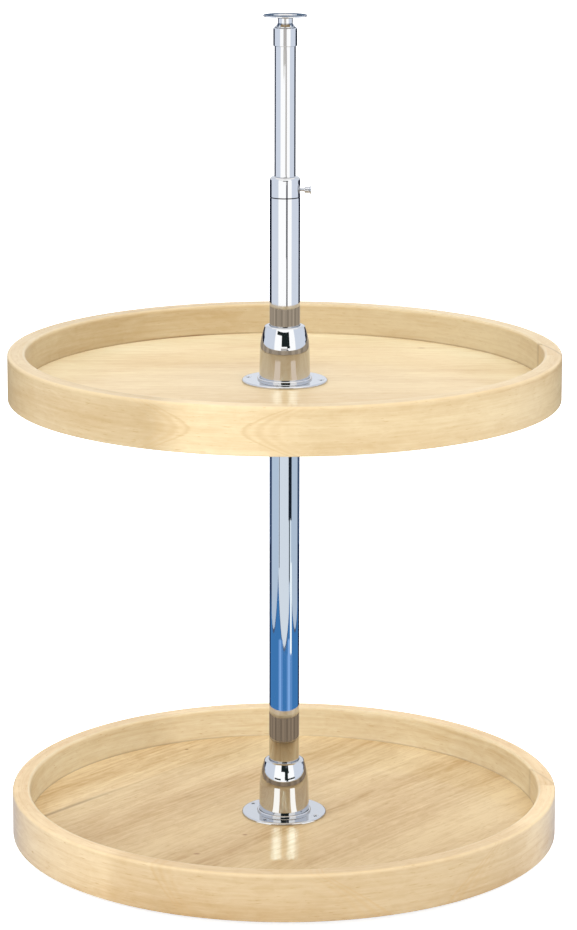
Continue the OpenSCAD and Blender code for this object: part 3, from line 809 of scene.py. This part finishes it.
# %% The two panels
upper_panel = panel_maple(
    "upper_panel_maple", turn=0, seed=1.4, strength=1.3, pale=tone(231, 208, 164),
    deep=tone(206, 173, 122), leaf_joint=(0.31, 0), leaf_and_light_depths=(0.85, 1.13, 1.0, 1.0),
    edge_light_tints=[(0.09, (1, 1, 1, 1)), (0.13, (1.05, 1.08, 1.1, 1)), (0.17, (1.06, 1.1, 1.18, 1)),
                (0.2, (1.11, 1.22, 1.38, 1)), (0.22, (1.12, 1.27, 1.49, 1))],
    knots=[(-0.091, 0.222, 0.004, 0.003), (0.132, 0.161, 0.005, 0.002)])
lower_panel = panel_maple(
    "lower_panel_maple", turn=50.7, seed=5.2, strength=1.55, pale=tone(221, 197, 152),
    deep=tone(181, 146, 95), leaf_joint=(0.166, -0.07), leaf_and_light_depths=(0.81, 1.22, 0.97, 1.1),
    edge_light_tints=[(0.12, (1, 1, 1, 1)), (0.19, (1.02, 1.06, 1.13, 1)),
                (0.22, (1.06, 1.12, 1.25, 1))],
    knots=[(-0.097, 0.191, 0.0025, 0.0025), (-0.036, -0.064, 0.003, 0.003),
           (-0.079, -0.116, 0.004, 0.003)])
print("panels use", len(lower_panel.node_tree.nodes), "nodes")

# %% [markdown]
# Polished chrome is nearly perfect, but not quite: the casting or tube under it waves a little,
# and hands leave a faint film. A second node group gives both, slow waves for the bump and
# patches for the roughness, and every metal here uses it with its own values.

# %% Handled metal
handled = bpy.data.node_groups.new("handled_metal", "ShaderNodeTree")
for name, value in (("Smooth", 0.03), ("Film", 0.05), ("Wave Scale", 60.0), ("Film Scale", 35.0)):
    socket = handled.interface.new_socket(name, in_out="INPUT", socket_type="NodeSocketFloat")
    socket.default_value = value
for name in ("Roughness", "Waves"):
    handled.interface.new_socket(name, in_out="OUTPUT", socket_type="NodeSocketFloat")
given = add_node(handled, "GroupInput").outputs
place = add_node(handled, "TexCoord").outputs["Object"]
patches = add_node(handled, "TexNoise", {"Vector": place, "Scale": given["Film Scale"],
                                         "Detail": 3.0}).outputs["Fac"]
patches = ramp(handled, patches, [(0.48, 0.0), (0.72, 1.0)])
waves = add_node(handled, "TexNoise", {"Vector": place, "Scale": given["Wave Scale"],
                                       "Detail": 1.0}).outputs["Fac"]
rough = reckon(handled, "MULTIPLY_ADD", patches, given["Film"], given["Smooth"])
add_node(handled, "GroupOutput", {"Roughness": rough, "Waves": waves})
print("handled_metal has", len(handled.nodes), "nodes")

# %% [markdown]
# Each metal has its own smoothness, its film, and its depth of wave in metres. A drawn tube
# waves less than a casting.

# %% Chrome for tubes and castings
CHROME = (CHROME_SHARE, CHROME_SHARE, CHROME_SHARE * 1.01, 1)  # a trace of blue
TUBE_WAVE, CAST_WAVE = 0.000012, 0.00002


def handled_metal(name, base, smooth, film, wave, wave_scale=60.0, film_scale=35.0):
    made, tree, shader = finish_named(name, base_color=base, metallic=1.0)
    touch = add_node(tree, "Group", {"Smooth": smooth, "Film": film, "Wave Scale": wave_scale,
                                     "Film Scale": film_scale}, node_tree=handled)
    tree.links.new(touch.outputs["Roughness"], shader.inputs["Roughness"])
    bump = add_node(tree, "Bump", {"Height": touch.outputs["Waves"], "Strength": 1.0,
                                   "Distance": wave})
    tree.links.new(bump.outputs[0], shader.inputs["Normal"])
    return made, tree, shader


tube_chrome, *_ = handled_metal("tube_chrome", CHROME, 0.025, 0.03, TUBE_WAVE)
cast_chrome, *_ = handled_metal("cast_chrome", CHROME, 0.03, 0.05, CAST_WAVE, wave_scale=90.0)
print("chromes:", tube_chrome.name, "and", cast_chrome.name)

# %% [markdown]
# Where the clamp sleeve meets the wide tube there is a hairline groove, and its shade is painted
# as a dark band in the chrome. The two pieces share a chrome that darkens at that height.

# %% Chrome with a painted shade line
SEAM_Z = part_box("wide_tube")[1][2]
SEAM_SHADE = (0.03, 0.032, 0.04, 1)

seam_chrome, tree, shader = handled_metal("seam_chrome", CHROME, 0.025, 0.03, TUBE_WAVE)
place = add_node(tree, "TexCoord").outputs["Object"]
height = add_node(tree, "SeparateXYZ", {0: place}).outputs["Z"]
off_seam_mm = times(tree, reckon(tree, "ABSOLUTE", minus(tree, height, SEAM_Z)), 1000)
hairline_shade = ramp(tree, off_seam_mm, [(0.38, SEAM_SHADE), (0.62, CHROME)])
tree.links.new(hairline_shade, shader.inputs["Base Color"])
print("hairline at", round(SEAM_Z, 4))

# %% [markdown]
# The thumb screw is the one piece that a hand works, and the one that stands out against the
# white, so it is modelled finer than its solid. It is a turned part, so it starts as a disc that is
# pulled out along its axis, step by step, and made wider or narrower at each step: a shank with
# the grooves of its thread, a head, and a lip. At this size no eye can tell closed grooves from a
# true helix, and they keep the mesh simple.

# %% Start the thumb screw
SCREW_LOW, SCREW_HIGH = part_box("thumb_screw")
SCREW_Z = (SCREW_LOW[2] + SCREW_HIGH[2]) / 2
HEAD_START, LIP_START = SCREW_HIGH[0] - 0.0058, SCREW_HIGH[0] - 0.0011
SHANK_R, HEAD_R, LIP_R = 0.0017, 0.003, (SCREW_HIGH[2] - SCREW_LOW[2]) / 2
POINT_EASE, EDGE_EASE, LIP_EASE = 0.0004, 0.0003, 0.0002  # chamfers of the point and the edges

at, wide = SCREW_LOW[0], SHANK_R - POINT_EASE
bpy.ops.object.select_all(action="DESELECT")
bpy.ops.mesh.primitive_circle_add(vertices=48, radius=wide, fill_type="NGON",
                                  location=(at, 0, SCREW_Z), rotation=(0, math.pi / 2, 0))
thumb_screw = bpy.context.object
thumb_screw.name = "knurled_thumb_screw"
bpy.ops.object.transform_apply(location=True, rotation=True, scale=True)
bpy.ops.object.mode_set(mode="EDIT")
bpy.ops.mesh.select_all(action="SELECT")
print("the screw starts at x", round(at, 4))

# %% [markdown]
# One step of the turning extrudes the end disc and resizes it round the screw's axis. The thread
# is the same four steps over and over, and the head and the lip are a list of places and radii.

# %% Turn the thumb screw
PITCH, THREAD_DEPTH, RUN_OUT = 0.0007, 0.0003, 0.0006


def turn_step(to, radius):
    """Pull the end disc on to a place along the axis, and make it as wide as asked."""
    global at, wide
    bpy.ops.mesh.extrude_region_move(TRANSFORM_OT_translate={"value": (to - at, 0, 0)})
    bpy.ops.transform.resize(value=(1, radius / wide, radius / wide),
                             center_override=(to, 0, SCREW_Z))
    at, wide = to, radius


turn_step(at + POINT_EASE, SHANK_R)
while at + PITCH < HEAD_START - RUN_OUT:
    for share, radius in ((0.2, SHANK_R), (0.3, SHANK_R - THREAD_DEPTH),
                          (0.2, SHANK_R - THREAD_DEPTH), (0.3, SHANK_R)):
        turn_step(at + share * PITCH, radius)
for to, radius in ((HEAD_START, SHANK_R), (HEAD_START, HEAD_R - EDGE_EASE),
                   (HEAD_START + EDGE_EASE, HEAD_R), (LIP_START - EDGE_EASE, HEAD_R),
                   (LIP_START, HEAD_R - EDGE_EASE), (LIP_START, LIP_R - LIP_EASE),
                   (LIP_START + LIP_EASE, LIP_R), (SCREW_HIGH[0] - EDGE_EASE, LIP_R),
                   (SCREW_HIGH[0], LIP_R - EDGE_EASE)):
    turn_step(to, radius)
bpy.ops.mesh.select_all(action="SELECT")
bpy.ops.mesh.remove_doubles(threshold=0.000001)
bpy.ops.mesh.normals_make_consistent(inside=False)
bpy.ops.object.mode_set(mode="OBJECT")
print("turned", len(thumb_screw.data.polygons), "faces, to x", round(at, 4))

# %% [markdown]
# The head is knurled for the fingers: every second of its side faces, found by their place and
# their normal, is pushed in.

# %% Knurl the head
KNURL_DEG, KNURL_RIM, KNURL_DEPTH = 15, 0.00005, 0.00025
SIDE_MARGIN = 0.0004  # keeps off the head's chamfers

bpy.ops.object.mode_set(mode="EDIT")
bpy.ops.mesh.select_mode(type="FACE")
bpy.ops.mesh.select_all(action="DESELECT")
bpy.ops.object.mode_set(mode="OBJECT")
for face in thumb_screw.data.polygons:
    middle = face.center
    on_head = HEAD_START + SIDE_MARGIN < middle.x < LIP_START - SIDE_MARGIN
    if on_head and abs(face.normal.x) < 0.01:
        around = math.degrees(math.atan2(middle.y, middle.z - SCREW_Z)) % KNURL_DEG
        face.select = around < KNURL_DEG / 2
print("ribs:", sum(face.select for face in thumb_screw.data.polygons))
bpy.ops.object.mode_set(mode="EDIT")
bpy.ops.mesh.inset(thickness=KNURL_RIM, use_individual=True)
bpy.ops.mesh.extrude_faces_move(TRANSFORM_OT_shrink_fatten={"value": -KNURL_DEPTH})
bpy.ops.object.mode_set(mode="OBJECT")

# %% [markdown]
# The lip's end has a slot for a screwdriver. A bar cuts it, half in and half out of the end, and
# then a small bevel breaks every edge. The finished screw stands for its CAD solid.

# %% Slot, bevel and hand over the screw
SLOT_BAR = (0.0018, 0.0009, 0.02)  # along the axis, across the slot, and well past the lip
EDGE_BREAK = 0.00006

bpy.ops.mesh.primitive_cube_add(size=1, location=(SCREW_HIGH[0], 0, SCREW_Z), scale=SLOT_BAR)
slot_bar = bpy.context.object
cut = thumb_screw.modifiers.new("slot", "BOOLEAN")
cut.operation, cut.solver, cut.object = "DIFFERENCE", "EXACT", slot_bar
edges = thumb_screw.modifiers.new("edges", "BEVEL")
edges.width, edges.segments = EDGE_BREAK, 2
edges.limit_method, edges.angle_limit = "ANGLE", math.radians(40)
bpy.ops.object.select_all(action="DESELECT")
thumb_screw.select_set(True)
bpy.context.view_layer.objects.active = thumb_screw
for step in ("slot", "edges"):
    bpy.ops.object.modifier_apply(modifier=step)
bpy.ops.object.shade_smooth_by_angle(angle=math.radians(30))
bpy.data.objects.remove(slot_bar, do_unlink=True)

screw_chrome, *_ = handled_metal("screw_chrome", (0.62, 0.63, 0.66, 1), 0.05, 0.08, 0.00001)
thumb_screw.data.materials.append(screw_chrome)
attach(thumb_screw, "thumb_screw")
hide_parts("thumb_screw")
print("thumb screw:", len(thumb_screw.data.polygons), "faces")

# %% [markdown]
# The hidden pieces get plain finishes: zinc-plated steel for collars, grub screws and the
# plug, with the crystalline cloud of the plating, and milky nylon for bushes and washers, with
# the faint orange peel of a moulding.

# %% Zinc and nylon
CLOUD_SCALE, PEEL_SCALE, PEEL_DEPTH = 380.0, 700.0, 0.00005  # features per metre, and metres

zinc, tree, shader = handled_metal("zinc_plate", tone(176, 179, 184), 0.26, 0.2, 0.00004,
                                   wave_scale=300.0, film_scale=420.0)
place = add_node(tree, "TexCoord").outputs["Object"]
cloud = add_node(tree, "TexVoronoi", {"Vector": place, "Scale": CLOUD_SCALE}).outputs["Distance"]
cloud = ramp(tree, cloud, [(0.0, tone(166, 169, 175)), (0.9, tone(194, 197, 203))])
tree.links.new(cloud, shader.inputs["Base Color"])

nylon, tree, shader = finish_named("moulded_nylon", roughness=0.42)
place = add_node(tree, "TexCoord").outputs["Object"]
peel = add_node(tree, "TexNoise", {"Vector": place, "Scale": PEEL_SCALE,
                                   "Detail": 2.0}).outputs["Fac"]
milky = ramp(tree, peel, [(0.3, tone(228, 227, 220)), (0.7, tone(240, 239, 233))])
tree.links.new(milky, shader.inputs["Base Color"])
bump = add_node(tree, "Bump", {"Height": peel, "Strength": 0.5, "Distance": PEEL_DEPTH})
tree.links.new(bump.outputs[0], shader.inputs["Normal"])
print("hidden finishes:", zinc.name, "and", nylon.name)

# %% [markdown]
# A CAD node keeps its shape and gets a better material in its own slots. The table names the
# pieces with a special finish. Bushes, washers and collars are told by their names, and all
# other metal is cast chrome.

# %% Give every node its finish
FINISHES = {"upper_rim": upper_band, "lower_rim": lower_band, "upper_floor": upper_panel,
            "lower_floor": lower_panel, "wide_tube": seam_chrome, "clamp_sleeve": seam_chrome,
            "narrow_tube": tube_chrome, "ferrule": tube_chrome, "floor_plug": zinc,
            "floor_plug_screw": zinc}
for name, node in NODES.items():
    if name not in FINISHES:
        if "bush" in name or "washer" in name:
            FINISHES[name] = nylon
        elif "collar" in name or "grub" in name:
            FINISHES[name] = zinc
        else:
            FINISHES[name] = cast_chrome
    for material_slot in node.material_slots:
        material_slot.material = FINISHES[name]
print(len(FINISHES), "nodes finished")
